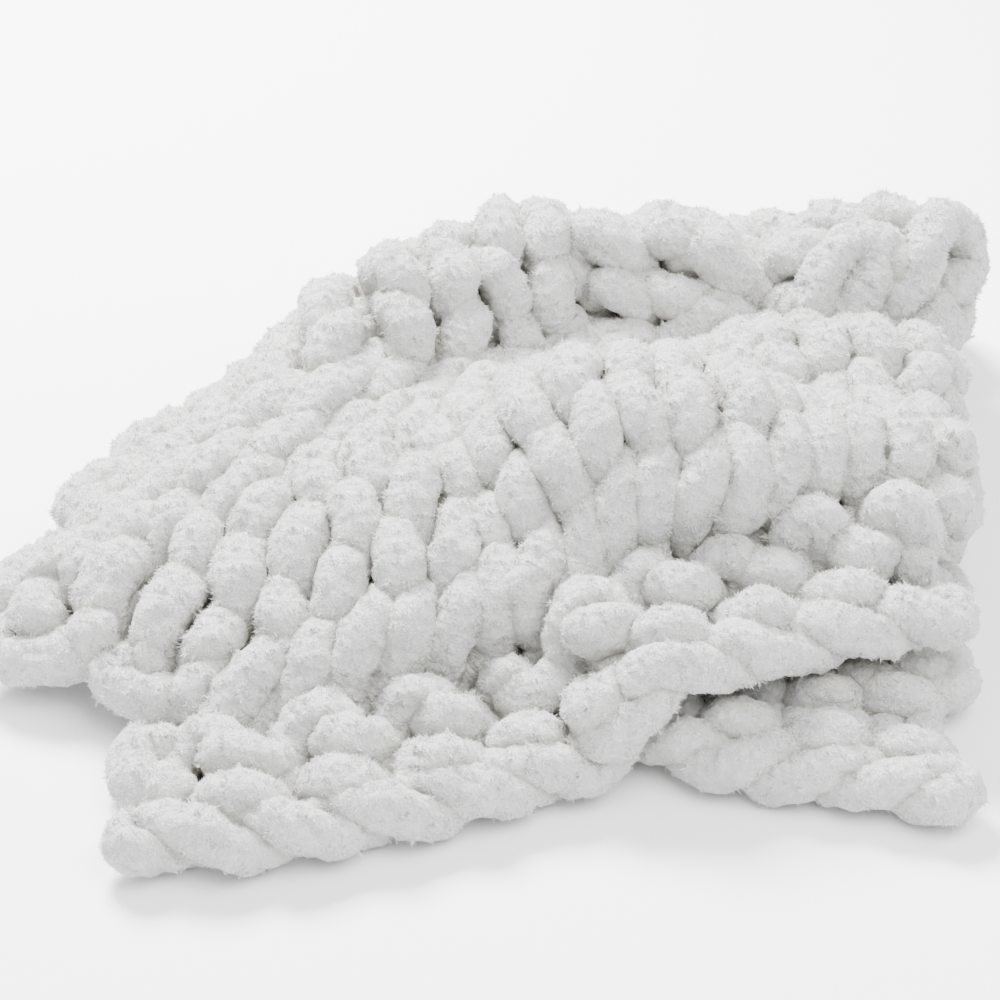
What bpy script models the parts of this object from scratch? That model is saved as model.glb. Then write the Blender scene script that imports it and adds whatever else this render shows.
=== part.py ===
"""Chunky chenille knit throw, folded in half and lying rumpled on a flat surface.

Metres, +Z up. +X runs across the wales (the columns of stitches), +Y runs from the near free edge
towards the fold at the back. The cloth is one closed solid: it starts at the near edge, climbs over
the mound, turns under at the back fold and comes forward again beneath itself.
"""

import math
from typing import NamedTuple

import bmesh
import bpy
import numpy as np
from mathutils import Matrix

# The knit: a strand of chenille about 27 mm thick, 9 stitches wide and 28 courses long.
WALES = 9
COURSES = 28
WALE_PITCH = 0.055
COURSE_PITCH = 0.0335
EDGE_COURSES = 3
CLOTH = 0.036
CREST = 0.007
COURSE_DIP = 0.001
WALE_DIP = -0.006
EDGE_DIP = -0.006
EDGE_WALE_DIP = 0.004
LAST_RAISED_COURSE = 17.0
LEG_SLANT = 0.34
RIB_RELIEF = 0.006
SCALLOP = 0.007
CORNER_ROUND = 0.016
CORNER_REACH = 0.060
RIM_ROUND = 0.024
RIM_SHARE = 0.45

# How the two layers lie.
LAYER_GAP = 0.006
SKIRT = 0.060
SIDE_DROP = 0.035
FOLD_REACH = 0.036
FOLD_START = 0.440
FOLD_BLEND = 0.045
LOW_MIDDLE = CLOTH / 2
PRESSED_FLAT = 0.001
JOINED_FOLDS = 4
LOBE_STRETCH = 0.50
LOBE_RISE = 0.20
LOBE_END = 0.62
LOBE_FALL = 0.30

# Cells of the mesh. The outside carries the stitches, and the inside only its ribs.
OUT_ACROSS = (0.0, 0.13, 0.37, 0.5, 0.63, 0.87)
OUT_ALONG = (0.0, 0.22, 0.78)
OUT_TOP_COURSES = 19
IN_CELLS_A_WALE = 2
IN_CELLS_A_COURSE = 2
IN_UNDER_COURSES = 12

LINE_STEPS = 90
ACROSS_STEPS = 66


class Place(NamedTuple):
    """A point that an edge of the cloth passes, seen from above."""

    x: float
    y: float


class Fold(NamedTuple):
    """A fold's crest between two points of the plan, its rise over the floor there, and its half width."""

    x0: float
    y0: float
    rise0: float
    x1: float
    y1: float
    rise1: float
    wide: float


NEAR_EDGE = (
    Place(-0.180, 0.020),
    Place(-0.103, 0.026),
    Place(-0.037, 0.046),
    Place(0.032, 0.073),
    Place(0.080, 0.092),
    Place(0.133, 0.112),
    Place(0.190, 0.132),
    Place(0.230, 0.138),
)
LEFT_EDGE = (
    Place(-0.180, 0.020),
    Place(-0.187, 0.085),
    Place(-0.199, 0.140),
    Place(-0.244, 0.152),
    Place(-0.284, 0.186),
    Place(-0.262, 0.224),
    Place(-0.237, 0.270),
    Place(-0.209, 0.340),
    Place(-0.164, 0.386),
    Place(-0.124, 0.418),
    Place(-0.080, 0.456),
)
RIGHT_EDGE = (
    Place(0.230, 0.138),
    Place(0.238, 0.250),
    Place(0.248, 0.350),
    Place(0.257, 0.430),
    Place(0.261, 0.484),
)
BACK_FOLD = (
    Place(-0.080, 0.456),
    Place(0.000, 0.478),
    Place(0.080, 0.484),
    Place(0.160, 0.490),
    Place(0.261, 0.484),
)
UNDER_EDGE = (
    Place(-0.090, 0.240),
    Place(0.008, 0.186),
    Place(0.062, 0.118),
    Place(0.092, 0.085),
    Place(0.150, 0.070),
    Place(0.222, 0.054),
)

TOP_FOLDS = {
    "plateau": Fold(0.000, 0.285, 0.060, 0.250, 0.285, 0.060, 0.165),
    "centre hump": Fold(0.045, 0.250, 0.104, 0.095, 0.242, 0.102, 0.105),
    "right crest": Fold(0.150, 0.235, 0.074, 0.300, 0.232, 0.072, 0.110),
    "left slope": Fold(-0.170, 0.225, 0.030, -0.050, 0.225, 0.058, 0.115),
    "left ridge": Fold(-0.128, 0.275, 0.052, -0.075, 0.360, 0.077, 0.085),
    "left ridge, far part": Fold(-0.062, 0.368, 0.093, 0.000, 0.418, 0.101, 0.072),
    "far hill": Fold(0.035, 0.430, 0.097, 0.108, 0.432, 0.099, 0.062),
    "far right hill": Fold(0.186, 0.432, 0.098, 0.300, 0.430, 0.101, 0.068),
    "right terrace": Fold(0.150, 0.340, 0.072, 0.300, 0.335, 0.070, 0.080),
    "edge roll": Fold(-0.206, 0.275, 0.030, -0.155, 0.355, 0.024, 0.060),
}
UNDER_FOLDS = {"under the hump": Fold(0.060, 0.280, 0.016, 0.120, 0.290, 0.016, 0.100)}

FOLD_HEIGHT_LEFT = 0.066
FOLD_HEIGHT = 0.070
FOLD_RAMP = 0.35


def smooth(share):
    """0 to 1 with level ends."""
    share = np.clip(share, 0.0, 1.0)
    return share * share * (3 - 2 * share)


def blend(a, b, share):
    return a + (b - a) * share


def along(places, share):
    """Points on a smooth curve through the places, at shares of its length."""
    knots = np.array(places, float)
    ends = (2 * knots[0] - knots[1], 2 * knots[-1] - knots[-2])
    padded = np.vstack((ends[0], knots, ends[1]))
    fine = []
    steps = np.linspace(0, 1, 24, endpoint=False)[:, None]
    for p0, p1, p2, p3 in zip(padded, padded[1:], padded[2:], padded[3:]):
        square, cube = steps**2, steps**3
        fine.append(
            0.5
            * (
                2 * p1
                + (p2 - p0) * steps
                + (2 * p0 - 5 * p1 + 4 * p2 - p3) * square
                + (3 * p1 - p0 - 3 * p2 + p3) * cube
            )
        )
    curve = np.vstack((*fine, knots[-1:]))
    return at_shares(curve, np.asarray(share, float))


def at_shares(line, share):
    """Points of a polyline at shares of its length."""
    steps = np.linalg.norm(np.diff(line, axis=0), axis=1)
    far = np.concatenate(([0.0], np.cumsum(steps)))
    wanted = share * far[-1]
    return np.stack([np.interp(wanted, far, line[:, k]) for k in range(line.shape[1])], -1)


def fold_rise(fold, x, y):
    """A fold's height over a point of the plan: full on its crest, none beyond its half width."""
    run_x, run_y = fold.x1 - fold.x0, fold.y1 - fold.y0
    share = ((x - fold.x0) * run_x + (y - fold.y0) * run_y) / (run_x**2 + run_y**2)
    share = np.clip(share, 0.0, 1.0)
    off = np.hypot(x - fold.x0 - share * run_x, y - fold.y0 - share * run_y) / fold.wide
    return blend(fold.rise0, fold.rise1, share) * (1 - np.minimum(off, 1.0) ** 2) ** 2


def joined(folds, x, y):
    """The folds as one surface, rounded where they meet."""
    total = sum(fold_rise(fold, x, y) ** JOINED_FOLDS for fold in folds.values())
    return total ** (1 / JOINED_FOLDS)


def under_height(x, y):
    """The middle of the lower layer."""
    return LOW_MIDDLE + joined(UNDER_FOLDS, x, y)


def over_lower_layer(x, y):
    """1 over the lower layer and 0 one skirt beyond it."""
    edge = np.array(UNDER_EDGE)
    near = np.interp(x, edge[:, 0], edge[:, 1])
    from_left = smooth((x - UNDER_EDGE[0].x + SKIRT) / SKIRT)
    return from_left * smooth((y - near + SKIRT) / SKIRT)


def top_height(x, y, s):
    """The middle of the upper layer: its folds, and never less than what lies beneath needs."""
    clear = under_height(x, y) + CLOTH + LAYER_GAP
    least = blend(LOW_MIDDLE, clear, over_lower_layer(x, y))
    spare = LOW_MIDDLE + joined(TOP_FOLDS, x, y) - least
    soft = 0.008 * smooth(joined(TOP_FOLDS, x, y) / 0.02)
    extra = 0.5 * (spare + np.sqrt(spare * spare + soft * soft))
    return least + extra * smooth((1 - s) / SIDE_DROP)


def plan_of_top(s, t):
    """Where the upper layer lies, from its four edges: s from left to right, t from near to back."""
    near, back = along(NEAR_EDGE, s), along(BACK_FOLD, s)
    left, right = along(LEFT_EDGE, t), along(RIGHT_EDGE, t)
    s, t = s[..., None], t[..., None]
    corners = (
        (1 - s) * (1 - t) * np.array(NEAR_EDGE[0])
        + s * (1 - t) * np.array(NEAR_EDGE[-1])
        + (1 - s) * t * np.array(BACK_FOLD[0])
        + s * t * np.array(BACK_FOLD[-1])
    )
    return (1 - t) * near + t * back + (1 - s) * left + s * right - corners


def wale_line(s):
    """One column of stitches, from the near edge over the mound and the back fold to the under edge."""
    t = np.linspace(0, 1, LINE_STEPS)
    across = np.full_like(t, s)
    fold_height = blend(FOLD_HEIGHT_LEFT, FOLD_HEIGHT, smooth(s / FOLD_RAMP))
    plan = plan_of_top(across, t)
    rise = top_height(plan[:, 0], plan[:, 1], s)
    to_fold = smooth((plan[:, 1] - FOLD_START) / FOLD_BLEND)
    top = np.column_stack((plan, blend(rise, fold_height, to_fold)))

    bend = np.linspace(0, math.pi, LINE_STEPS // 3)[1:-1]
    low = float(under_height(*along(BACK_FOLD, s)))
    half = (fold_height - low) / 2
    turn = np.column_stack(
        (
            np.full_like(bend, top[-1, 0]),
            top[-1, 1] + FOLD_REACH * np.sin(bend),
            low + half + half * np.cos(bend),
        )
    )

    start, end = along(BACK_FOLD, s), along(UNDER_EDGE, s)
    under_plan = blend(start, end, t[:, None])
    under_rise = under_height(under_plan[:, 0], under_plan[:, 1])
    return np.vstack((top, turn, np.column_stack((under_plan, under_rise))))


def wider_at_left(s, v):
    """Shares across at a share v of the length: the loose left lobe's stitches are stretched wide."""
    stretch = LOBE_STRETCH * smooth(v / LOBE_RISE) * smooth((LOBE_END - v) / LOBE_FALL)
    return s + stretch * s * (1 - s) ** 2


def middle_surface():
    """The cloth's middle as a grid: points[across, along], evenly spaced along each wale."""
    shares = np.linspace(0, 1, LINE_STEPS * 2)
    across = np.linspace(0, 1, ACROSS_STEPS)
    grid = np.stack([at_shares(wale_line(s), shares) for s in across])
    rows = [at_shares(grid[:, j], wider_at_left(across, v)) for j, v in enumerate(shares)]
    return np.stack(rows, 1)


def sampled(grid, u, v):
    """A grid's values between its points, for shares u across and v along."""
    i, j = u * (grid.shape[0] - 1), v * (grid.shape[1] - 1)
    i0 = np.clip(i.astype(int), 0, grid.shape[0] - 2)
    j0 = np.clip(j.astype(int), 0, grid.shape[1] - 2)
    fi, fj = (i - i0)[..., None], (j - j0)[..., None]
    near = blend(grid[i0, j0], grid[i0 + 1, j0], fi)
    far = blend(grid[i0, j0 + 1], grid[i0 + 1, j0 + 1], fi)
    return blend(near, far, fj)


def outward(grid):
    """Unit normals of the grid, up on the upper layer and down on the lower one."""
    across = np.gradient(grid, axis=0)
    forward = np.gradient(grid, axis=1)
    normal = np.cross(across, forward)
    return normal / np.linalg.norm(normal, axis=-1, keepdims=True)


def leg_shift(u, v):
    """The zigzag of the mesh's lines, so that they run along the V of the stitches' legs."""
    place = u * WALES - np.floor(u * WALES)
    rows = np.minimum(v * COURSES - EDGE_COURSES + 0.5, OUT_TOP_COURSES - v * COURSES)
    return LEG_SLANT * (np.abs(2 * place - 1) - 0.5) * smooth(rows / 1.5) / COURSES


def stitch_relief(u, v):
    """Two legs to a stitch along the mesh's zigzag, rounded ribs on the courses by the near edge, and
    nothing on the side that is pressed flat on the floor."""
    place = u * WALES - np.floor(u * WALES)
    leg = smooth(np.abs(np.sin(2 * math.pi * place)) / 0.73)
    bump = smooth(np.abs(np.sin(math.pi * v * COURSES)) / 0.64)
    stitches = blend(WALE_DIP, blend(COURSE_DIP, CREST, bump), leg)
    ribs = blend(EDGE_DIP, CREST, bump) - EDGE_WALE_DIP * (1 - leg)
    raised = blend(ribs, stitches, smooth(v * COURSES - EDGE_COURSES + 0.8))
    return raised * smooth(LAST_RAISED_COURSE + 1.5 - v * COURSES)


def rib_relief(u, v):
    """The back of the knit: one rounded rib to a course."""
    row = v * COURSES
    return RIB_RELIEF * np.cos(2 * math.pi * row) * (0.8 + 0.2 * np.cos(2 * math.pi * u * WALES))


def from_rim(u, v):
    """How far a point lies from the nearest free edge, in metres, with the knit flat."""
    width, length = WALES * WALE_PITCH, COURSES * COURSE_PITCH
    return np.minimum(np.minimum(u, 1 - u) * width, np.minimum(v, 1 - v) * length)


def rim_share(u, v):
    """The share of the cloth's thickness that is left near a free edge, which is round."""
    inward = np.clip(from_rim(u, v) / RIM_ROUND, 0, 1)
    return blend(RIM_SHARE, 1.0, np.sqrt(1 - (1 - inward) ** 2))


def scallops(u, v, grid):
    """The outline's waves: the selvedges bulge at each course, and the ends at each wale."""
    across = np.gradient(grid, axis=0)
    forward = np.gradient(grid, axis=1)
    side = sampled(across, u, v)
    ahead = sampled(forward, u, v)
    side /= np.linalg.norm(side, axis=-1, keepdims=True)
    ahead /= np.linalg.norm(ahead, axis=-1, keepdims=True)
    course_wave = 0.5 + 0.5 * np.cos(2 * math.pi * v * COURSES)
    wale_wave = 0.5 + 0.5 * np.cos(2 * math.pi * u * WALES)
    at_left = np.isclose(u, 0)[..., None]
    at_right = np.isclose(u, 1)[..., None]
    at_near = np.isclose(v, 0)[..., None]
    at_far = np.isclose(v, 1)[..., None]
    sideways = side * (course_wave[..., None] * (at_right * 1.0 - at_left * 1.0))
    lengthways = ahead * (wale_wave[..., None] * (at_far * 1.0 - at_near * 1.0))
    near_side = smooth(1 - np.minimum(u, 1 - u) * WALES * WALE_PITCH / CORNER_REACH)
    near_end = smooth(1 - np.minimum(v, 1 - v) * COURSES * COURSE_PITCH / CORNER_REACH)
    pull = (near_side * near_end * (u < 0.5))[..., None]
    inward = side + ahead * np.where(v < 0.5, 1.0, -1.0)[..., None]
    return SCALLOP * (sideways + lengthways) + CORNER_ROUND * pull * inward


def face_points(u, v, grid, normals, relief, sign):
    """One face of the cloth, half its thickness from the middle, flat where it meets the floor."""
    v_on_mesh = v + leg_shift(u, v) * (sign > 0)
    middle = sampled(grid, u, v_on_mesh) + scallops(u, v, grid)
    normal = sampled(normals, u, v_on_mesh)
    normal /= np.linalg.norm(normal, axis=-1, keepdims=True)
    share = rim_share(u, v)
    inner = share >= 0.999
    half = (CLOTH / 2) * share + np.where(inner, relief, 0.3 * relief)
    points = middle + sign * normal * half[..., None]
    points[..., 2] = np.where(points[..., 2] < PRESSED_FLAT, 0.0, points[..., 2])
    return points


def grid_face(name, points, flipped):
    """A Blender grid with its points moved onto one face of the cloth. points[across, along]."""
    across, down = points.shape[0] - 1, points.shape[1] - 1
    bpy.ops.mesh.primitive_grid_add(x_subdivisions=across, y_subdivisions=down, size=1)
    face = bpy.context.object
    face.name = name
    for vertex in face.data.vertices:
        i = round((vertex.co.x + 0.5) * across)
        j = round((vertex.co.y + 0.5) * down)
        vertex.co = points[i, j]
    if flipped:
        face.data.flip_normals()
    return face


def rim_loop(i_count, j_count):
    """The indices round a grid's border, and each one's share of the way round, corner by corner."""
    i_last, j_last = i_count - 1, j_count - 1
    loop = [(i, 0, i / i_last) for i in range(i_last)]
    loop += [(i_last, j, 1 + j / j_last) for j in range(j_last)]
    loop += [(i, j_last, 3 - i / i_last) for i in range(i_last, 0, -1)]
    loop += [(0, j, 4 - j / j_last) for j in range(j_last, 0, -1)]
    return loop


def close_rim(mesh, outer, inner, out_lines, in_lines):
    """Joins two grids of unlike cells round their rims with triangles, the nearer vertex first."""
    shape = bmesh.new()
    shape.from_mesh(mesh)
    shape.verts.ensure_lookup_table()
    first = {key: shape.verts[n] for key, n in outer.items()}
    second = {key: shape.verts[n] for key, n in inner.items()}
    ring_a = [(first[(i, j)], share) for i, j, share in shared_shares(out_lines)]
    ring_b = [(second[(i, j)], share) for i, j, share in shared_shares(in_lines)]
    a, b = 0, 0
    while a < len(ring_a) or b < len(ring_b):
        now_a, now_b = ring_a[a % len(ring_a)], ring_b[b % len(ring_b)]
        next_a, next_b = ring_a[(a + 1) % len(ring_a)], ring_b[(b + 1) % len(ring_b)]
        share_a = 4.0 if a + 1 >= len(ring_a) else next_a[1]
        share_b = 4.0 if b + 1 >= len(ring_b) else next_b[1]
        step_a = b >= len(ring_b) or (a < len(ring_a) and share_a <= share_b)
        if step_a:
            shape.faces.new((now_a[0], now_b[0], next_a[0]))
            a += 1
        else:
            shape.faces.new((now_a[0], now_b[0], next_b[0]))
            b += 1
    bmesh.ops.recalc_face_normals(shape, faces=shape.faces)
    if shape.calc_volume(signed=True) < 0:
        bmesh.ops.reverse_faces(shape, faces=shape.faces)
    shape.to_mesh(mesh)
    shape.free()


def shared_shares(lines):
    """A border's loop with shares that follow the cloth and not the cell count."""
    across, along_it = lines
    ring = []
    for i, j, share in rim_loop(len(across), len(along_it)):
        side = int(share)
        place = (across[i], along_it[j], 1 - across[i], 1 - along_it[j])[side]
        ring.append((i, j, side + place))
    return ring


def out_course_lines():
    """Shares along the outside: a few cells to each course that shows, and one to each of the rest."""
    stitched = [course + part for course in range(OUT_TOP_COURSES) for part in OUT_ALONG]
    return np.array(stitched + list(range(OUT_TOP_COURSES, COURSES + 1))) / COURSES


def in_course_lines():
    """Shares along the inside: one cell to a course on the upper layer, and a few to each rib."""
    plain = COURSES - IN_UNDER_COURSES
    ribbed = np.arange(plain, COURSES + 0.01, 1 / IN_CELLS_A_COURSE)
    return np.concatenate((np.arange(plain), ribbed)) / COURSES


def wale_lines():
    """Shares across the outside: close together in the dip between two legs, apart on a leg."""
    places = [wale + part for wale in range(WALES) for part in OUT_ACROSS]
    return np.array([*places, WALES]) / WALES


def centre_on_base(mesh):
    """Moves the cloth so that the origin is at the middle of its box's base."""
    points = np.array([vertex.co for vertex in mesh.vertices])
    low, high = points.min(axis=0), points.max(axis=0)
    middle = (low + high) / 2
    mesh.transform(Matrix.Translation((-middle[0], -middle[1], -low[2])))


def numbered(face, points_shape):
    """The vertex number of each grid place."""
    across, down = points_shape[0] - 1, points_shape[1] - 1
    columns = across + 1
    return {(n % columns, n // columns): n for n in range(columns * (down + 1))}


def fabric(name, colour):
    """White chenille: matt, with no metal in it."""
    material = bpy.data.materials.new(name)
    material.use_nodes = True
    shader = material.node_tree.nodes["Principled BSDF"]
    shader.inputs["Base Color"].default_value = (*colour, 1.0)
    shader.inputs["Roughness"].default_value = 0.95
    shader.inputs["Metallic"].default_value = 0.0
    return material


def build_throw():
    grid = middle_surface()
    normals = outward(grid)

    out_lines = wale_lines(), out_course_lines()
    u, v = np.meshgrid(*out_lines, indexing="ij")
    outside = face_points(u, v, grid, normals, stitch_relief(u, v), 1)

    in_lines = np.linspace(0, 1, WALES * IN_CELLS_A_WALE + 1), in_course_lines()
    u, v = np.meshgrid(*in_lines, indexing="ij")
    visible = smooth((v - 1 + IN_UNDER_COURSES / COURSES) * COURSES)
    inside = face_points(u, v, grid, normals, rib_relief(u, v) * visible, -1)

    outer = grid_face("throw", outside, False)
    inner = grid_face("throw_inside", inside, True)
    outer_count = len(outer.data.vertices)
    outer_numbers = numbered(outer, outside.shape)
    inner_numbers = {key: n + outer_count for key, n in numbered(inner, inside.shape).items()}

    bpy.ops.object.select_all(action="DESELECT")
    inner.select_set(True)
    outer.select_set(True)
    bpy.context.view_layer.objects.active = outer
    bpy.ops.object.join()
    close_rim(outer.data, outer_numbers, inner_numbers, out_lines, in_lines)
    centre_on_base(outer.data)
    outer.data.shade_smooth()
    outer.data.materials.clear()
    outer.data.materials.append(fabric("chenille", (0.86, 0.86, 0.85)))
    return outer


def main():
    for thing in list(bpy.data.objects):
        bpy.data.objects.remove(thing)
    throw = build_throw()
    group = bpy.data.collections.new("throw_blanket")
    bpy.context.scene.collection.children.link(group)
    for owner in list(throw.users_collection):
        owner.objects.unlink(throw)
    group.objects.link(throw)


main()
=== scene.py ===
import math
from typing import NamedTuple

import bpy
import numpy as np
from mathutils import Euler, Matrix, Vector


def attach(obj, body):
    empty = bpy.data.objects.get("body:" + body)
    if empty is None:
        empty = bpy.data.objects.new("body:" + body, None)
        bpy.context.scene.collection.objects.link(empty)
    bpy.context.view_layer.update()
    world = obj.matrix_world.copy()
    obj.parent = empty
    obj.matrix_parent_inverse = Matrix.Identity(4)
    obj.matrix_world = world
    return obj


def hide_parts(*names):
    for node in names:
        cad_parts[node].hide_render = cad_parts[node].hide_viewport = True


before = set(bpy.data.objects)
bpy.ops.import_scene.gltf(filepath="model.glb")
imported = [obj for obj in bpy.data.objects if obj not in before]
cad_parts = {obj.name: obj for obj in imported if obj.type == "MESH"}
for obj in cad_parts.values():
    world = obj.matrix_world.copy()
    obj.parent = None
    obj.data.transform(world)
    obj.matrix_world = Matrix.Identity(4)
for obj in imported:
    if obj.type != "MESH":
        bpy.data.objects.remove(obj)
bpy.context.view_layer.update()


# Throw: how it lies
# The real throw is one piece of hand knitting, folded in half and dropped on a surface. The upper
# layer lies over the mound in soft folds, turns under at the back, and its other end comes forward
# beneath. These edges and folds say where the middle of the knit runs.
class Place(NamedTuple):
    """A point that an edge of the knit passes, seen from above."""

    x: float
    y: float


class Fold(NamedTuple):
    """A fold: its crest's two ends, how high they stand over the floor, and its half width."""

    x0: float
    y0: float
    rise0: float
    x1: float
    y1: float
    rise1: float
    wide: float


ORIGIN = Place(-0.00912, 0.28306)
WALES = 9
COURSES = 28
WALE_PITCH = 0.055
COURSE_PITCH = 0.0335
CLOTH = 0.036
LAYER_GAP = 0.006
LOW_MIDDLE = CLOTH / 2
SKIRT = 0.060
SIDE_DROP = 0.035
JOINED_FOLDS = 4
LOBE_STRETCH = 0.50
LOBE_RISE = 0.20
LOBE_END = 0.62
LOBE_FALL = 0.30

NEAR_EDGE = (
    Place(-0.180, 0.020),
    Place(-0.103, 0.026),
    Place(-0.037, 0.046),
    Place(0.032, 0.073),
    Place(0.080, 0.092),
    Place(0.133, 0.112),
    Place(0.190, 0.132),
    Place(0.230, 0.138),
)
LEFT_EDGE = (
    Place(-0.180, 0.020),
    Place(-0.187, 0.085),
    Place(-0.199, 0.140),
    Place(-0.244, 0.152),
    Place(-0.284, 0.186),
    Place(-0.262, 0.224),
    Place(-0.237, 0.270),
    Place(-0.209, 0.340),
    Place(-0.164, 0.386),
    Place(-0.124, 0.418),
    Place(-0.080, 0.456),
)
RIGHT_EDGE = (
    Place(0.230, 0.138),
    Place(0.238, 0.250),
    Place(0.248, 0.350),
    Place(0.257, 0.430),
    Place(0.261, 0.484),
)
BACK_FOLD = (
    Place(-0.080, 0.456),
    Place(0.000, 0.478),
    Place(0.080, 0.484),
    Place(0.160, 0.490),
    Place(0.261, 0.484),
)
UNDER_EDGE = (
    Place(-0.090, 0.240),
    Place(0.008, 0.186),
    Place(0.062, 0.118),
    Place(0.092, 0.085),
    Place(0.150, 0.070),
    Place(0.222, 0.054),
)
TOP_FOLDS = {
    "plateau": Fold(0.000, 0.285, 0.060, 0.250, 0.285, 0.060, 0.165),
    "centre hump": Fold(0.045, 0.250, 0.104, 0.095, 0.242, 0.102, 0.105),
    "right crest": Fold(0.150, 0.235, 0.074, 0.300, 0.232, 0.072, 0.110),
    "left slope": Fold(-0.170, 0.225, 0.030, -0.050, 0.225, 0.058, 0.115),
    "left ridge": Fold(-0.128, 0.275, 0.052, -0.075, 0.360, 0.077, 0.085),
    "left ridge, far part": Fold(-0.062, 0.368, 0.093, 0.000, 0.418, 0.101, 0.072),
    "far hill": Fold(0.035, 0.430, 0.097, 0.108, 0.432, 0.099, 0.062),
    "far right hill": Fold(0.186, 0.432, 0.098, 0.300, 0.430, 0.101, 0.068),
    "right terrace": Fold(0.150, 0.340, 0.072, 0.300, 0.335, 0.070, 0.080),
    "edge roll": Fold(-0.206, 0.275, 0.030, -0.155, 0.355, 0.024, 0.060),
}
UNDER_FOLDS = {"under the hump": Fold(0.060, 0.280, 0.016, 0.120, 0.290, 0.016, 0.100)}
FOLD_REACH = 0.036
FOLD_START = 0.440
FOLD_BLEND = 0.045
FOLD_HEIGHT_LEFT = 0.066
FOLD_HEIGHT = 0.070
FOLD_RAMP = 0.35
STEP_EASE = 0.008
EASE_RISE = 0.02
CURVE_STEPS = 24
LAYER_STEPS = 90
TURN_STEPS = 30
GRID_ACROSS = 66
GRID_ALONG = 180


def smooth(share):
    """0 to 1 with level ends."""
    share = np.clip(share, 0.0, 1.0)
    return share * share * (3 - 2 * share)


def mix(a, b, share):
    """a at share 0, b at share 1."""
    return a + (b - a) * share


def at_shares(line, share):
    """Points of a polyline at shares of its length."""
    steps = np.linalg.norm(np.diff(line, axis=0), axis=1)
    far = np.concatenate(([0.0], np.cumsum(steps)))
    wanted = share * far[-1]
    return np.stack([np.interp(wanted, far, line[:, k]) for k in range(line.shape[1])], -1)


def along(places, share):
    """Points on a smooth curve through the places, at shares of its length."""
    knots = np.array(places, float)
    padded = np.vstack((2 * knots[0] - knots[1], knots, 2 * knots[-1] - knots[-2]))
    fine = []
    steps = np.linspace(0, 1, CURVE_STEPS, endpoint=False)[:, None]
    for p0, p1, p2, p3 in zip(padded, padded[1:], padded[2:], padded[3:]):
        bend = 2 * p0 - 5 * p1 + 4 * p2 - p3
        twist = 3 * p1 - p0 - 3 * p2 + p3
        fine.append(0.5 * (2 * p1 + (p2 - p0) * steps + bend * steps**2 + twist * steps**3))
    return at_shares(np.vstack((*fine, knots[-1:])), np.asarray(share, float))


def fold_rise(fold, x, y):
    """A fold's height over a point of the plan: full on its crest, none beyond its half width."""
    run_x, run_y = fold.x1 - fold.x0, fold.y1 - fold.y0
    share = ((x - fold.x0) * run_x + (y - fold.y0) * run_y) / (run_x**2 + run_y**2)
    share = np.clip(share, 0.0, 1.0)
    off = np.hypot(x - fold.x0 - share * run_x, y - fold.y0 - share * run_y) / fold.wide
    return mix(fold.rise0, fold.rise1, share) * (1 - np.minimum(off, 1.0) ** 2) ** 2


def joined(folds, x, y):
    """The folds as one surface, rounded where they meet."""
    total = sum(fold_rise(fold, x, y) ** JOINED_FOLDS for fold in folds.values())
    return total ** (1 / JOINED_FOLDS)


def under_height(x, y):
    """The middle of the lower layer."""
    return LOW_MIDDLE + joined(UNDER_FOLDS, x, y)


def over_lower_layer(x, y):
    """1 over the lower layer and 0 one skirt beyond it."""
    edge = np.array(UNDER_EDGE)
    near = np.interp(x, edge[:, 0], edge[:, 1])
    from_left = smooth((x - UNDER_EDGE[0].x + SKIRT) / SKIRT)
    return from_left * smooth((y - near + SKIRT) / SKIRT)


def top_height(x, y, s):
    """The middle of the upper layer: its folds, and never less than what lies beneath needs."""
    clear = under_height(x, y) + CLOTH + LAYER_GAP
    least = mix(LOW_MIDDLE, clear, over_lower_layer(x, y))
    spare = LOW_MIDDLE + joined(TOP_FOLDS, x, y) - least
    soft = STEP_EASE * smooth(joined(TOP_FOLDS, x, y) / EASE_RISE)
    extra = 0.5 * (spare + np.sqrt(spare * spare + soft * soft))
    return least + extra * smooth((1 - s) / SIDE_DROP)


def plan_of_top(s, t):
    """Where the upper layer lies, from its edges: s from left to right, t from near to back."""
    near, back = along(NEAR_EDGE, s), along(BACK_FOLD, s)
    left, right = along(LEFT_EDGE, t), along(RIGHT_EDGE, t)
    s, t = s[..., None], t[..., None]
    corners = (
        (1 - s) * (1 - t) * np.array(NEAR_EDGE[0])
        + s * (1 - t) * np.array(NEAR_EDGE[-1])
        + (1 - s) * t * np.array(BACK_FOLD[0])
        + s * t * np.array(BACK_FOLD[-1])
    )
    return (1 - t) * near + t * back + (1 - s) * left + s * right - corners


def wale_line(s):
    """One column of stitches, from the near edge over the back fold to the under edge."""
    t = np.linspace(0, 1, LAYER_STEPS)
    fold_height = mix(FOLD_HEIGHT_LEFT, FOLD_HEIGHT, smooth(s / FOLD_RAMP))
    plan = plan_of_top(np.full_like(t, s), t)
    rise = top_height(plan[:, 0], plan[:, 1], s)
    to_fold = smooth((plan[:, 1] - FOLD_START) / FOLD_BLEND)
    top = np.column_stack((plan, mix(rise, fold_height, to_fold)))
    bend = np.linspace(0, math.pi, TURN_STEPS)[1:-1]
    low = float(under_height(*along(BACK_FOLD, s)))
    half = (fold_height - low) / 2
    behind = top[-1, 1] + FOLD_REACH * np.sin(bend)
    turn_rise = low + half + half * np.cos(bend)
    turn = np.column_stack((np.full_like(bend, top[-1, 0]), behind, turn_rise))
    under = mix(along(BACK_FOLD, s), along(UNDER_EDGE, s), t[:, None])
    under_rise = under_height(under[:, 0], under[:, 1])
    return np.vstack((top, turn, np.column_stack((under, under_rise))))


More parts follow.
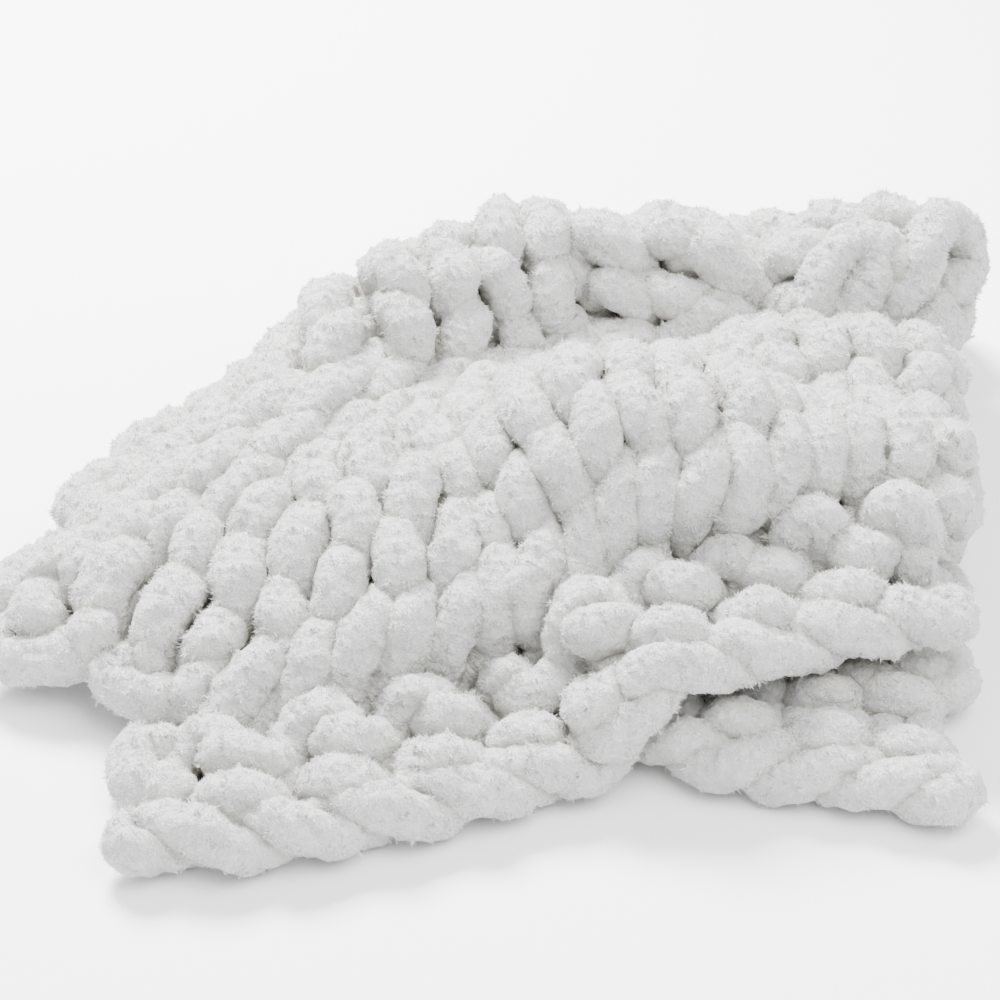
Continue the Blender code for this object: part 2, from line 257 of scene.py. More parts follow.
def wider_at_left(s, v):
    """Shares across at a share v of the length: the loose left lobe's stitches are wide."""
    stretch = LOBE_STRETCH * smooth(v / LOBE_RISE) * smooth((LOBE_END - v) / LOBE_FALL)
    return s + stretch * s * (1 - s) ** 2


shares_along = np.linspace(0, 1, GRID_ALONG)
shares_across = np.linspace(0, 1, GRID_ACROSS)
middle = np.stack([at_shares(wale_line(s), shares_along) for s in shares_across])
rows = [
    at_shares(middle[:, j], wider_at_left(shares_across, v))
    for j, v in enumerate(shares_along)
]
middle = np.stack(rows, 1)
middle[..., 0] -= ORIGIN.x
middle[..., 1] -= ORIGIN.y
outward = np.cross(np.gradient(middle, axis=0), np.gradient(middle, axis=1))
outward /= np.linalg.norm(outward, axis=-1, keepdims=True)


def sampled(grid, u, v):
    """A grid's values between its points, for shares u across and v along."""
    i, j = u * (grid.shape[0] - 1), v * (grid.shape[1] - 1)
    i0 = np.clip(i.astype(int), 0, grid.shape[0] - 2)
    j0 = np.clip(j.astype(int), 0, grid.shape[1] - 2)
    fi, fj = (i - i0)[..., None], (j - j0)[..., None]
    near = mix(grid[i0, j0], grid[i0 + 1, j0], fi)
    far = mix(grid[i0, j0 + 1], grid[i0 + 1, j0 + 1], fi)
    return mix(near, far, fj)


def on_cloth(wale, course, off):
    """Points from places counted in stitches and a distance off the cloth's middle."""
    u, v = np.clip(wale / WALES, 0, 1), np.clip(course / COURSES, 0, 1)
    normal = sampled(outward, u, v)
    normal /= np.linalg.norm(normal, axis=-1, keepdims=True)
    return sampled(middle, u, v) + normal * off[..., None]


# Chenille: its colour, painted shade and pile
# Polyester chenille has a short velvet pile standing out all round a thin core. It is dull white.
# Its colour is painted greyer and a little olive down in the gaps between the strands, as painted
# shade where little light gets in.
OUTSIDE = (0.79, 0.795, 0.785, 1)
PAINTED_CREASE_SHADE = (0.66, 0.65, 0.60, 1)
PAINTED_DEEP_SHADE = (0.40, 0.38, 0.30, 1)
CLUMPS = 200.0
RINGS = 260.0
RING_WEIGHT = 0.8
THROUGH = 0.4


def socket(group, name, kind, value=None, way="INPUT"):
    """Adds a named input or output to a node group."""
    made = group.interface.new_socket(name, in_out=way, socket_type=kind)
    if value is not None:
        made.default_value = value


def fill(tree, made, inputs):
    """Sets a node's inputs. One that is given as another node's output is linked to it."""
    for key, value in inputs.items():
        if isinstance(value, bpy.types.NodeSocket):
            tree.links.new(value, made.inputs[key])
        else:
            made.inputs[key].default_value = value


def node(tree, kind, inputs=None, **settings):
    """Adds a node with its settings and inputs."""
    made = tree.nodes.new(kind)
    for name, value in settings.items():
        setattr(made, name, value)
    fill(tree, made, inputs or {})
    return made


def maths(tree, operation, *values):
    """The result of a sum of numbers and other nodes' outputs."""
    return node(tree, "ShaderNodeMath", dict(enumerate(values)), operation=operation).outputs[0]


def vectors(tree, operation, *values):
    """The result of a sum of vectors."""
    inputs = dict(enumerate(values))
    return node(tree, "ShaderNodeVectorMath", inputs, operation=operation).outputs[0]


def ranged(tree, value, low, high, to_low=0.0, to_high=1.0):
    """A value between low and high, moved to lie between to_low and to_high."""
    ends = {"From Min": low, "From Max": high, "To Min": to_low, "To Max": to_high}
    return node(tree, "ShaderNodeMapRange", {"Value": value, **ends}).outputs["Result"]


def velvet_bumps():
    """Shader group: the clumps and rings that the pile gathers in, and its single tufts, as bumps
    and as painted shade that darkens the low places.
    """
    group = bpy.data.node_groups.new("velvet_bumps", "ShaderNodeTree")
    socket(group, "Tufts a metre", "NodeSocketFloat", 700.0)
    socket(group, "Clumps a metre", "NodeSocketFloat", CLUMPS)
    socket(group, "Rings a metre", "NodeSocketFloat", RINGS)
    socket(group, "Height", "NodeSocketFloat", 0.9)
    socket(group, "Distance", "NodeSocketFloat", 0.0035)
    socket(group, "Normal", "NodeSocketVector", way="OUTPUT")
    socket(group, "Shade", "NodeSocketFloat", way="OUTPUT")
    given = node(group, "NodeGroupInput").outputs
    place = node(group, "ShaderNodeTexCoord").outputs["Object"]
    rough = {"Detail": 3.0, "Roughness": 0.7, "Distortion": 0.4}
    tufts = node(
        group,
        "ShaderNodeTexNoise",
        {"Vector": place, "Scale": given["Tufts a metre"], **rough},
    )
    clumps = node(
        group,
        "ShaderNodeTexVoronoi",
        {"Vector": place, "Scale": given["Clumps a metre"]},
        feature="F1",
    )
    lengthwise = node(group, "ShaderNodeAttribute", attribute_name="along").outputs["Fac"]
    rings = node(
        group,
        "ShaderNodeTexNoise",
        {"W": lengthwise, "Scale": given["Rings a metre"], "Detail": 1.0},
        noise_dimensions="1D",
    )
    both = maths(group, "MULTIPLY_ADD", clumps.outputs["Distance"], -1.0, tufts.outputs["Fac"])
    ringed = maths(group, "MULTIPLY_ADD", rings.outputs["Fac"], RING_WEIGHT, both)
    bump = node(
        group,
        "ShaderNodeBump",
        {"Height": ringed, "Strength": given["Height"], "Distance": given["Distance"]},
    )
    # Painted shade: the skin's colour is darker where the clumps, tufts and rings lie low.
    painted_shade = ranged(group, ringed, 0.1, 0.9, 0.80, 1.0)
    node(group, "NodeGroupOutput", {"Normal": bump.outputs["Normal"], "Shade": painted_shade})
    return group


def chenille_material(name, bumps=None):
    """The chenille's look: on the strand's skin with its bumps, on the blades of pile without. Its
    colour holds painted shade: darker deep in creases, between the clumps and at the blades'
    roots.
    """
    material = bpy.data.materials.new(name)
    material.use_nodes = True
    tree = material.node_tree
    # Painted shade: the colour turns grey and then olive the deeper a place lies in a crease
    # between strands.
    depth = node(tree, "ShaderNodeAttribute", attribute_name="hollow").outputs["Fac"]
    ramp = node(tree, "ShaderNodeValToRGB", {"Fac": depth})
    stops = ramp.color_ramp.elements
    stops[0].position = 0.15
    stops[0].color = OUTSIDE
    stops[1].position = 1.0
    stops[1].color = PAINTED_DEEP_SHADE
    stops.new(0.5).color = PAINTED_CREASE_SHADE
    if bumps:
        velvet = node(tree, "ShaderNodeGroup", node_tree=bumps).outputs
        painted_shade = velvet["Shade"]
    else:
        # Painted shade: each blade is darker towards its root.
        tip = node(tree, "ShaderNodeAttribute", attribute_name="tip").outputs["Fac"]
        painted_shade = ranged(tree, tip, 0.0, 0.8, 0.70, 1.0)
    colour = {0: ramp.outputs["Color"], "Scale": painted_shade}
    tinted = node(tree, "ShaderNodeVectorMath", colour, operation="SCALE").outputs[0]
    shader = tree.nodes["Principled BSDF"]
    fill(tree, shader, {"Base Color": tinted, "Roughness": 0.95, "Specular IOR Level": 0.15})
    fill(tree, shader, {"Sheen Weight": 0.25, "Sheen Roughness": 0.5})
    if bumps:
        fill(tree, shader, {"Normal": velvet["Normal"]})
    else:
        through = node(tree, "ShaderNodeBsdfTranslucent", {"Color": tinted}).outputs["BSDF"]
        sides = {"Fac": THROUGH, 1: shader.outputs["BSDF"], 2: through}
        blended = node(tree, "ShaderNodeMixShader", sides).outputs["Shader"]
        fill(tree, tree.nodes["Material Output"], {"Surface": blended})
    return material


chenille = chenille_material("chenille", velvet_bumps())
pile_white = chenille_material("chenille_pile")


# Strand: the knitting
# One strand of jumbo chenille goes to and fro across the cloth. Each stitch is a loop drawn
# through the one below: its legs stand out on the knit side, its head and feet on the purl side.
# The first courses and the far valley are purled, so that heads lie there as sideways ribs.
STRAND = 0.0125
LOOP_DEPTH = 0.0122
LOOP_HEIGHT = 0.78
LOOP_LEAN = 0.15
EDGE_COURSES = 3
EDGE_TILT = 0.14
FAR_SIDE = range(10, 17)
FAR_SIDE_WALE = 4
FAR_TILT = 0.32
STEPS_A_STITCH = 20
LEG_BULGE = 0.07
SWING_ACROSS = 0.10
SWING_TALL = 0.12
SWING_OUT = 0.14
SWING_THICK = 0.07
END_SETTLE = 0.45
PRESSED = 0.90
COURSE_EASE = 0.06
OVERLAP = 5
BLUNT_END = 0.02
MARGIN_WALE = 0.22
END_SWELL = 0.16
MARGIN_COURSE = 0.74
LOBE_THICKER = 0.09
UPRIGHT = 0.60
UPRIGHT_RISE = 0.12
UPRIGHT_END = 0.40
TURN_THICKER = 1.04
HALF_TURN = np.linspace(0, math.pi, 9)[1:-1]
unevenness = np.random.default_rng(11)


def side_of(wale, course):
    """1 where a stitch shows its legs outside, and -1 where it shows its head."""
    purled = course < EDGE_COURSES or (course in FAR_SIDE and wale >= FAR_SIDE_WALE)
    return -1.0 if purled else 1.0


side = np.array(
    [[side_of(i, j) for j in range(-1, COURSES + 1)] for i in range(-1, WALES + 1)]
)
loop_swing = unevenness.normal(0, 1, (WALES + 2, COURSES + 2, 4))


def in_lobe(t, course):
    """How far a stitch lies in the wide left lobe, and how far its loop is pulled upright."""
    u, v = t / WALES, course / COURSES
    slack = (1 - u) ** 2 * smooth(v / LOBE_RISE) * smooth((LOBE_END - v) / LOBE_FALL)
    pulled = (1 - u) ** 2 * smooth(v / UPRIGHT_RISE) * smooth((UPRIGHT_END - v) / UPRIGHT_RISE)
    return slack, pulled


def course_places(course):
    """One course from left to right: its places, distances off the middle and thicknesses."""
    t = np.linspace(0, WALES, WALES * STEPS_A_STITCH + 1)
    stitch = np.minimum(t.astype(int), WALES - 1)
    turn = 2 * math.pi * t
    own = side[stitch + 1, course + 1]
    above = side[stitch + 1, course + 2]
    left = side[np.round(t).astype(int), course + 1]
    right = side[np.round(t).astype(int) + 1, course + 1]
    leg = 0.5 - 0.5 * np.cos(2 * turn)
    head = np.clip(-np.cos(turn), 0, 1) ** 2
    foot = np.clip(np.cos(turn), 0, 1) ** 2
    inside = smooth(np.minimum(t, WALES - t) / END_SETTLE)
    off = LOOP_DEPTH * (own * leg - above * head - 0.5 * (left + right) * foot) * inside
    shown = np.clip(off / LOOP_DEPTH, -1, 1)
    swing = loop_swing[stitch + 1, course + 1]
    bell = np.sin(math.pi * (t - stitch)) ** 2
    wale = t + LOOP_LEAN * np.sin(2 * turn) + SWING_ACROSS * swing[:, 0] * bell
    height = LOOP_HEIGHT * (1 + SWING_TALL * swing[:, 1] * bell) * inside
    rise = course + 0.5 - height * np.cos(turn)
    tilt = EDGE_TILT if course < EDGE_COURSES else FAR_TILT
    rise = rise - np.where(own < 0, tilt, 0.0) * np.sin(2 * turn)
    off = off * (1 + SWING_OUT * swing[:, 2] * bell)
    slack, pulled = in_lobe(t, course)
    wale = wale + UPRIGHT * pulled * (rise - course - 0.5)
    uneven = SWING_THICK * swing[:, 3] * bell
    thick = STRAND * (1 + LEG_BULGE * shown + uneven + LOBE_THICKER * slack)
    wale = END_SWELL + MARGIN_WALE + wale * (1 - 2 * (END_SWELL + MARGIN_WALE) / WALES)
    return wale, rise, off, thick


def turn_places(course, at_right):
    """The half turn from one course's end to the next one's start, round the selvedge."""
    swell = END_SWELL * np.sin(HALF_TURN)
    end = END_SWELL + MARGIN_WALE
    wale = WALES - end + swell if at_right else end - swell
    rise = course + 1 - 0.5 * np.cos(HALF_TURN)
    return wale, rise, 0 * HALF_TURN, np.full_like(HALF_TURN, STRAND * TURN_THICKER)


def held_in(value, low, high, soft):
    """A value, eased so that it stays between low and high."""
    value = low + soft * np.logaddexp(0, (value - low) / soft)
    return high - soft * np.logaddexp(0, (high - value) / soft)


def laid(wale, rise, off, thick):
    """Places on the knit as points, none lower than the strand can be pressed."""
    points = on_cloth(wale, rise, off)
    points[:, 2] = np.maximum(points[:, 2], thick * PRESSED)
    return points, thick


def strand_places(first, last):
    """The strand through these courses, to and fro, as points and thicknesses."""
    pieces = []
    for course in range(first, last):
        wale, rise, off, thick = course_places(course)
        rise = held_in(rise, MARGIN_COURSE, COURSES - MARGIN_COURSE, COURSE_EASE)
        backward = course % 2 == 1
        step = -1 if backward else 1
        pieces.append(laid(wale[::step], rise[::step], off[::step], thick[::step]))
        if course + 1 < COURSES - 1:
            pieces.append(laid(*turn_places(course, not backward)))
    if last < COURSES - 1:
        following = course_places(last)
        pieces.append(laid(*(places[::-step][:OVERLAP] for places in following)))
    points = np.vstack([place for place, width in pieces])
    thick = np.concatenate([width for place, width in pieces])
    steps = np.linalg.norm(np.diff(points, axis=0), axis=1)
    far = np.concatenate(([0.0], np.cumsum(steps)))
    from_end = np.full_like(far, STRAND)
    if first == 1:
        from_end = np.minimum(from_end, far)
    if last == COURSES - 1:
        from_end = np.minimum(from_end, far[-1] - far)
    rounded = np.sqrt(np.maximum(1 - (1 - from_end / STRAND) ** 2, BLUNT_END))
    return points, thick * rounded


ROPE_TURNS = 5.0
ROPE_SWAY = 0.19
ROPE_UNEVEN = 0.45
ROPE_DEPTH = 0.0050
ROPE_PLACE = 0.38
ROPE_MARGIN = 0.30
ROPE_STEPS = 160
ROPE_THICK = 0.94
ROPE_OUTER_PLY = 0.06


def rope_places(at_far_end):
    """The two-ply chain that closes an end of the knit: along one ply, round, and back."""
    share = np.linspace(0, 1, ROPE_STEPS)
    turn = 2 * math.pi * ROPE_TURNS * share
    inner = ROPE_MARGIN + (WALES - 2 * ROPE_MARGIN) * share
    bulge = ROPE_SWAY * COURSE_PITCH / WALE_PITCH * np.sin(HALF_TURN)
    at_right = math.cos(turn[-1]) * np.cos(HALF_TURN)
    at_left = -np.cos(HALF_TURN)
    wale = np.concatenate((inner, WALES - ROPE_MARGIN + bulge, inner[::-1], ROPE_MARGIN - bulge))
    across = np.concatenate((np.cos(turn), at_right, -np.cos(turn[::-1]), at_left))
    level = 0 * HALF_TURN
    depth = np.concatenate((np.sin(turn), level, -np.sin(turn[::-1]), level))
    uneven = np.sin(5.3 * wale + 0.9) * np.sin(1.7 * wale)
    rise = ROPE_PLACE + ROPE_SWAY * across * (1 + ROPE_UNEVEN * uneven)
    if at_far_end:
        rise = COURSES - rise
    thick = STRAND * (ROPE_THICK + ROPE_OUTER_PLY * depth)
    return laid(wale, rise, ROPE_DEPTH * depth, thick)


def stored(group, geometry, name, value):
    """The geometry with a number stored at each of its points."""
    inputs = {"Geometry": geometry, "Name": name, "Value": value}
    store = "GeometryNodeStoreNamedAttribute"
    return node(group, store, inputs, data_type="FLOAT", domain="POINT").outputs["Geometry"]


def stored_number(group, name):
    """The number stored under a name."""
    read = "GeometryNodeInputNamedAttribute"
    return node(group, read, {"Name": name}, data_type="FLOAT").outputs["Attribute"]


def painted(group, geometry, material):
    """Ends a Geometry Nodes group: its shape made real and given its material."""
    real = node(group, "GeometryNodeRealizeInstances", {"Geometry": geometry})
    inputs = {"Geometry": real.outputs["Geometry"], "Material": material}
    paint = node(group, "GeometryNodeSetMaterial", inputs)
    node(group, "NodeGroupOutput", {"Geometry": paint.outputs["Geometry"]})
    return group


def swept_strand():
    """Geometry Nodes: a round strand along a curve, as thick as the curve's radius says."""
    group = bpy.data.node_groups.new("swept_strand", "GeometryNodeTree")
    socket(group, "Geometry", "NodeSocketGeometry")
    socket(group, "Ring spacing", "NodeSocketFloat", 0.005)
    socket(group, "Sides", "NodeSocketInt", 14)
    socket(group, "Material", "NodeSocketMaterial")
    socket(group, "Geometry", "NodeSocketGeometry", way="OUTPUT")
    given = node(group, "NodeGroupInput").outputs
    spaced = {"Curve": given["Geometry"], "Length": given["Ring spacing"]}
    even = node(group, "GeometryNodeResampleCurve", spaced, mode="LENGTH").outputs["Curve"]
    so_far = node(group, "GeometryNodeSplineParameter").outputs["Length"]
    ring = node(
        group,
        "GeometryNodeCurvePrimitiveCircle",
        {"Resolution": given["Sides"], "Radius": 1.0},
    )
    sweep = node(
        group,
        "GeometryNodeCurveToMesh",
        {
            "Curve": stored(group, even, "along", so_far),
            "Profile Curve": ring.outputs["Curve"],
            "Scale": node(group, "GeometryNodeInputRadius").outputs["Radius"],
            "Fill Caps": True,
        },
    )
    return painted(group, sweep.outputs["Mesh"], given["Material"])


def puffed():
    """Geometry Nodes: eases the creases between strands and raises the pile's lumps and tufts."""
    group = bpy.data.node_groups.new("puffed", "GeometryNodeTree")
    socket(group, "Geometry", "NodeSocketGeometry")
    socket(group, "Easing", "NodeSocketInt", 1)
    socket(group, "Lump height", "NodeSocketFloat", 0.0090)
    socket(group, "Lump scale", "NodeSocketFloat", 62.0)
    socket(group, "Tuft height", "NodeSocketFloat", 0.0085)
    socket(group, "Tuft scale", "NodeSocketFloat", 135.0)
    socket(group, "Material", "NodeSocketMaterial")
    socket(group, "Geometry", "NodeSocketGeometry", way="OUTPUT")
    given = node(group, "NodeGroupInput").outputs
    place = node(group, "GeometryNodeInputPosition").outputs[0]
    blur = node(
        group,
        "GeometryNodeBlurAttribute",
        {"Value": place, "Iterations": given["Easing"]},
        data_type="FLOAT_VECTOR",
    )
    eased = node(
        group,
        "GeometryNodeSetPosition",
        {"Geometry": given["Geometry"], "Position": blur.outputs["Value"]},
    )
    height = 0.0
    for kind, detail in (("Lump", 2.0), ("Tuft", 3.0)):
        texture = {"Scale": given[f"{kind} scale"], "Detail": detail}
        noise = node(group, "ShaderNodeTexNoise", texture).outputs["Fac"]
        centred = maths(group, "SUBTRACT", noise, 0.5)
        height = maths(group, "MULTIPLY_ADD", centred, given[f"{kind} height"], height)
    facing = node(group, "GeometryNodeInputNormal").outputs[0]
    push = {0: facing, "Scale": height}
    pushed = node(group, "ShaderNodeVectorMath", push, operation="SCALE").outputs[0]
    raised = node(
        group,
        "GeometryNodeSetPosition",
        {"Geometry": eased.outputs["Geometry"], "Offset": pushed},
    )
    soft = node(group, "GeometryNodeSetShadeSmooth", {"Geometry": raised.outputs["Geometry"]})
    return painted(group, soft.outputs["Geometry"], given["Material"])


def add_nodes(thing, group, **values):
    """Puts a node tree on an object and sets its named inputs."""
    modifier = thing.modifiers.new(group.name, "NODES")
    modifier.node_group = group
    for item in group.interface.items_tree:
        name = item.name.replace(" ", "_").lower()
        if item.item_type == "SOCKET" and item.in_out == "INPUT" and name in values:
            modifier[item.identifier] = values[name]


def as_piece(thing, name):
    """The object's evaluated shape as a plain mesh of its own; the object itself goes."""
    thing.name = "worn_out"
    graph = bpy.context.evaluated_depsgraph_get()
    mesh = bpy.data.meshes.new_from_object(thing.evaluated_get(graph))
    mesh.name = name
    piece = bpy.data.objects.new(name, mesh)
    bpy.context.scene.collection.objects.link(piece)
    old = thing.data
    bpy.data.objects.remove(thing)
    if isinstance(old, bpy.types.Curve):
        bpy.data.curves.remove(old)
    return piece


def add_line(curve, places, closed=False):
    """Adds a strand to a curve, from its points and thicknesses."""
    points, widths = places
    line = curve.splines.new("POLY")
    line.use_cyclic_u = closed
    line.points.add(len(points) - 1)
    line.points.foreach_set("co", np.column_stack((points, np.ones(len(points)))).ravel())
    line.points.foreach_set("radius", widths)


def curve_through(name, places):
    """A curve object that follows a strand."""
    curve = bpy.data.curves.new(name, "CURVE")
    curve.dimensions = "3D"
    add_line(curve, places)
    thing = bpy.data.objects.new(name, curve)
    bpy.context.scene.collection.objects.link(thing)
    return thing


def knitted(part, coarser):
    """These courses as one soft piece: the strand swept along its loops, and puffed."""
    places = strand_places(max(part.first, 1), min(part.last, COURSES - 1))
    strand = curve_through(part.name, places)
    if part.first == 0:
        add_line(strand.data, rope_places(False), closed=True)
    if part.last == COURSES:
        add_line(strand.data, rope_places(True), closed=True)
    cell = part.cell * coarser
    sides = round(2 * math.pi * STRAND / cell)
    add_nodes(strand, swept, ring_spacing=cell, sides=sides, material=chenille)
    piece = as_piece(strand, f"{part.name}_swept")
    add_nodes(piece, puff, material=chenille)
    return as_piece(piece, part.name)


class Part(NamedTuple):
    """A run of courses, the size of its skin's cells, and how much of it is seen."""

    name: str
    first: int
    last: int
    cell: float
    seen: float


PARTS = (
    Part("edge_courses", 0, 4, 0.0034, 1.0),
    Part("front_slope", 4, 8, 0.0034, 1.0),
    Part("hump", 8, 11, 0.0034, 1.0),
    Part("far_side", 11, 15, 0.0036, 0.9),
    Part("back_fold", 15, 19, 0.0046, 0.5),
    Part("under_middle", 19, 25, 0.0065, 0.25),
    Part("under_edge", 25, COURSES, 0.0038, 0.7),
)
COARSER = 1.0
swept = swept_strand()
puff = puffed()
knit = [knitted(part, COARSER) for part in PARTS]


# Pile
# The velvet stands out wherever the strand can be seen. So each place first looks out at the
# whole knit, near by for how deep in a crease it lies, and far out for whether it is hidden.
SIDEWAYS = 0.9
LOOKS = (
    (0, 0, 0),
    (SIDEWAYS, 0, 0),
    (-SIDEWAYS, 0, 0),
    (0, SIDEWAYS, 0),
    (0, -SIDEWAYS, 0),
    (0, 0, SIDEWAYS),
)
OFF_SKIN = 0.002
BLADE_LENGTH = 0.0040
BLADE_WIDTH = 0.00075
BLADE_LEAN = 0.7
BLADE_TURN = 3.14
PILE_DENSITY = 950000.0


def sheltered():
    """Geometry Nodes: stores how hollow each place is, near and far, by looking out from it. How
    hollow it is near by sets the painted crease shade in the colour.
    """
    group = bpy.data.node_groups.new("sheltered", "GeometryNodeTree")
    socket(group, "Geometry", "NodeSocketGeometry")
    socket(group, "Knit", "NodeSocketObject")
    socket(group, "Near reach", "NodeSocketFloat", 0.022)
    socket(group, "Far reach", "NodeSocketFloat", 0.35)
    socket(group, "Geometry", "NodeSocketGeometry", way="OUTPUT")
    given = node(group, "NodeGroupInput").outputs
    around = node(group, "GeometryNodeObjectInfo", {"Object": given["Knit"]})
    facing = node(group, "GeometryNodeInputNormal").outputs[0]
    place = node(group, "GeometryNodeInputPosition").outputs[0]
    start = vectors(group, "MULTIPLY_ADD", facing, (OFF_SKIN, OFF_SKIN, OFF_SKIN), place)
    flow = given["Geometry"]
    for name, reach in (("hollow", "Near reach"), ("hidden", "Far reach")):
        total = 0.0
        for aside in LOOKS:
            ray = {
                "Target Geometry": around.outputs["Geometry"],
                "Source Position": start,
                "Ray Direction": vectors(group, "ADD", facing, aside),
                "Ray Length": given[reach],
            }
            look = node(group, "GeometryNodeRaycast", ray).outputs
            weight = 1.0
            if name == "hollow":
                near = maths(group, "DIVIDE", look["Hit Distance"], given[reach])
                weight = maths(group, "SUBTRACT", 1.0, near)
            total = maths(group, "MULTIPLY_ADD", look["Is Hit"], weight, total)
        share = maths(group, "DIVIDE", total, len(LOOKS))
        softer = {"Value": share, "Iterations": 2}
        even = node(group, "GeometryNodeBlurAttribute", softer, data_type="FLOAT")
        flow = stored(group, flow, name, even.outputs["Value"])
    node(group, "NodeGroupOutput", {"Geometry": flow})
    return group


def pile_density(group, density):
    """How many blades stand at a place: none where it is hidden or faces down."""
    seen = ranged(group, stored_number(group, "hidden"), 0.80, 0.50)
    facing = node(group, "GeometryNodeInputNormal").outputs[0]
    upright = node(group, "ShaderNodeSeparateXYZ", {0: facing}).outputs["Z"]
    upward = ranged(group, upright, -0.75, -0.35)
    return maths(group, "MULTIPLY", maths(group, "MULTIPLY", seen, upward), density)


def pile_height(group):
    """How tall a blade is: uneven, and gathered in clumps and in rings along the strand."""
    size = node(group, "FunctionNodeRandomValue", {2: 0.7, 3: 1.1}, data_type="FLOAT").outputs[1]
    clumps = node(group, "ShaderNodeTexVoronoi", {"Scale": CLUMPS}).outputs["Distance"]
    clumped = ranged(group, clumps, 0.0, 0.7, 1.3, 0.2)
    texture = {"W": stored_number(group, "along"), "Scale": RINGS, "Detail": 1.0}
    rings = node(group, "ShaderNodeTexNoise", texture, noise_dimensions="1D").outputs["Fac"]
    ringed = ranged(group, rings, 0.3, 0.7, 0.5, 1.2)
    return maths(group, "MULTIPLY", size, maths(group, "MULTIPLY", clumped, ringed))


def one_blade(group, width, length):
    """A blade of pile: a tall triangle, which knows how far up its tip is."""
    three = {"Vertices": 3, "Radius": 1.0}
    triangle = node(group, "GeometryNodeMeshCircle", three, fill_type="NGON").outputs["Mesh"]
    corner = node(group, "GeometryNodeInputPosition").outputs[0]
    height = node(group, "ShaderNodeSeparateXYZ", {0: corner}).outputs["Y"]
    stretch = node(group, "ShaderNodeCombineXYZ", {"X": width, "Y": length, "Z": 1.0})
    stood = {
        "Geometry": stored(group, triangle, "tip", height),
        "Rotation": (math.pi / 2, 0, 0),
        "Scale": stretch.outputs[0],
    }
    return node(group, "GeometryNodeTransform", stood).outputs["Geometry"]


def pile():
    """Geometry Nodes: blades of velvet pile, standing out wherever the strand can be seen."""
    group = bpy.data.node_groups.new("pile", "GeometryNodeTree")
    socket(group, "Geometry", "NodeSocketGeometry")
    socket(group, "Density", "NodeSocketFloat", PILE_DENSITY)
    socket(group, "Blade length", "NodeSocketFloat", BLADE_LENGTH)
    socket(group, "Blade width", "NodeSocketFloat", BLADE_WIDTH)
    socket(group, "Seed", "NodeSocketInt", 3)
    socket(group, "Material", "NodeSocketMaterial")
    socket(group, "Geometry", "NodeSocketGeometry", way="OUTPUT")
    given = node(group, "NodeGroupInput").outputs
    spread = node(
        group,
        "GeometryNodeDistributePointsOnFaces",
        {
            "Mesh": given["Geometry"],
            "Density": pile_density(group, given["Density"]),
            "Seed": given["Seed"],
        },
    )
    lean = node(
        group,
        "FunctionNodeRandomValue",
        {
            "Min": (-BLADE_LEAN, -BLADE_LEAN, -BLADE_TURN),
            "Max": (BLADE_LEAN, BLADE_LEAN, BLADE_TURN),
            "Seed": given["Seed"],
        },
        data_type="FLOAT_VECTOR",
    )
    leaning = node(group, "FunctionNodeEulerToRotation", {0: lean.outputs[0]})
    turn = node(
        group,
        "FunctionNodeRotateRotation",
        {0: spread.outputs["Rotation"], 1: leaning.outputs[0]},
        rotation_space="LOCAL",
    )
    planted = node(
        group,
        "GeometryNodeInstanceOnPoints",
        {
            "Points": spread.outputs["Points"],
            "Instance": one_blade(group, given["Blade width"], given["Blade length"]),
            "Rotation": turn.outputs[0],
            "Scale": pile_height(group),
        },
    )
    return painted(group, planted.outputs["Instances"], given["Material"])


def whole_knit(things):
    """All the pieces as one helper object, to look out from."""
    copies = []
    for thing in things:
        copy = bpy.data.objects.new("part_of_knit", thing.data.copy())
        bpy.context.scene.collection.objects.link(copy)
        copies.append(copy)
    with bpy.context.temp_override(active_object=copies[0], selected_editable_objects=copies):
        bpy.ops.object.join()
    return copies[0]


shelter, velvet_pile = sheltered(), pile()
whole = whole_knit(knit)
for number, piece in enumerate(knit):
    add_nodes(piece, shelter, knit=whole)
    knit[number] = as_piece(piece, piece.name)
bpy.data.objects.remove(whole)

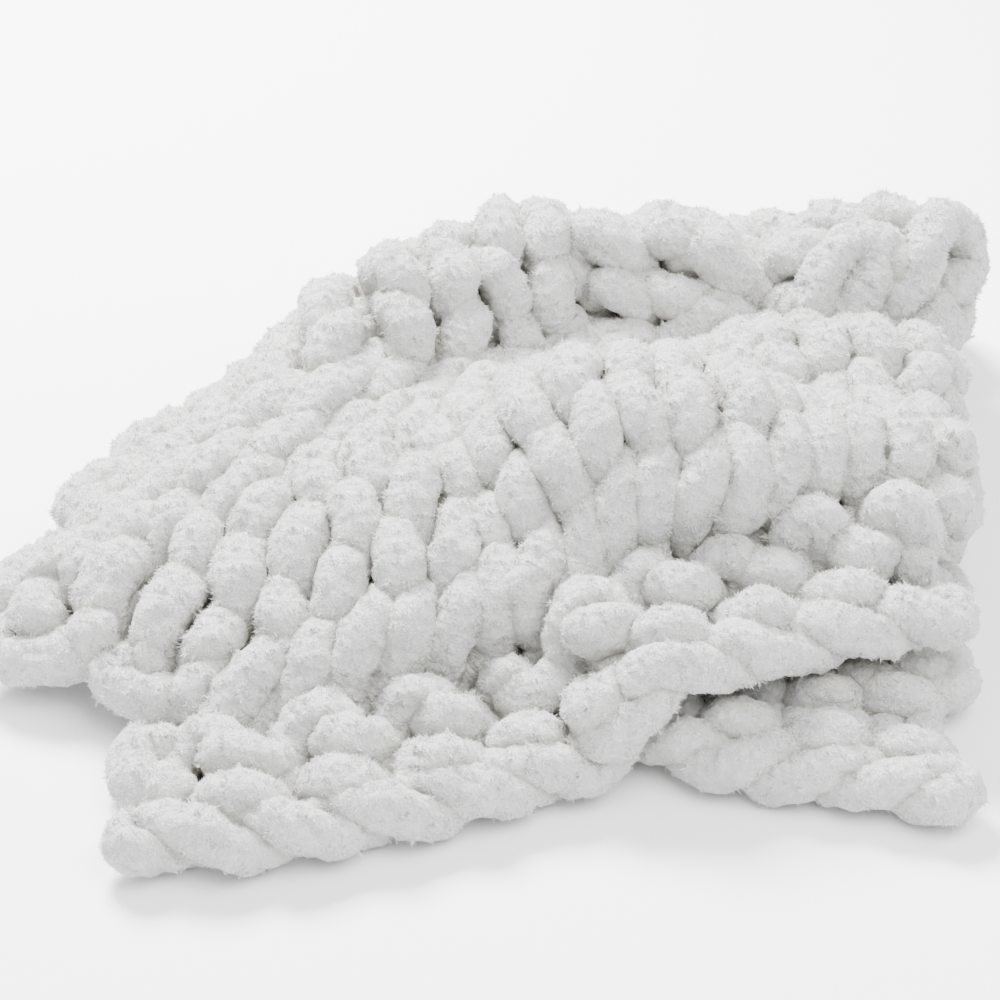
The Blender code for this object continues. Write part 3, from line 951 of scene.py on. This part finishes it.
density = PILE_DENSITY
tufts = []
for number, (part, piece) in enumerate(zip(PARTS, knit)):
    base = bpy.data.objects.new(f"pile_of_{part.name}", piece.data.copy())
    bpy.context.scene.collection.objects.link(base)
    thick = density * part.seen
    add_nodes(base, velvet_pile, density=thick, seed=number, material=pile_white)
    tufts.append(as_piece(base, base.name))


# Stage
# A plain pale floor under soft studio light: a key from the far left, a weak fill from the near
# right and a bright room. The camera looks down where the photographer stood.
ELEVATION = math.radians(33)
DISTANCE = 1.46
LENS = 104.4
SENSOR = 36
AIM = Vector((-ORIGIN.x, 0.23 - ORIGIN.y, 0.075))
FLOOR_WHITE = (0.92, 0.92, 0.92, 1)
ROOM_LIGHT = 1.38

bpy.ops.mesh.primitive_plane_add(size=8)
floor = bpy.context.object
floor.name = "floor"
paper = bpy.data.materials.new("paper")
paper.use_nodes = True
paper_shader = paper.node_tree.nodes["Principled BSDF"]
fill(paper.node_tree, paper_shader, {"Base Color": FLOOR_WHITE, "Roughness": 0.9})
floor.data.materials.append(paper)

camera = bpy.data.objects.new("camera", bpy.data.cameras.new("camera"))
camera.data.lens = LENS
camera.data.sensor_width = SENSOR
camera.location = AIM + DISTANCE * Vector((0, -math.cos(ELEVATION), math.sin(ELEVATION)))
camera.rotation_euler = Euler((math.pi / 2 - ELEVATION, 0, 0))
bpy.context.scene.collection.objects.link(camera)
bpy.context.scene.camera = camera


class Lamp(NamedTuple):
    """A soft box: where it hangs, how wide it is and how strong."""

    x: float
    y: float
    z: float
    size: float
    power: float


LAMPS = {
    "key": Lamp(-0.6, 1.1, 1.5, 0.7, 240),
    "fill": Lamp(0.7, -0.7, 1.6, 1.4, 60),
}
for name, lamp in LAMPS.items():
    light = bpy.data.lights.new(name, "AREA")
    light.energy = lamp.power
    light.size = lamp.size
    box = bpy.data.objects.new(name, light)
    box.location = (lamp.x, lamp.y, lamp.z)
    box.rotation_euler = (box.location - AIM).to_track_quat("Z", "Y").to_euler()
    bpy.context.scene.collection.objects.link(box)
world = bpy.data.worlds.new("studio")
world.use_nodes = True
room = world.node_tree.nodes["Background"]
fill(world.node_tree, room, {"Color": (1, 1, 1, 1), "Strength": ROOM_LIGHT})
bpy.context.scene.world = world

for piece in (*knit, *tufts):
    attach(piece, "root")
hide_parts("throw")
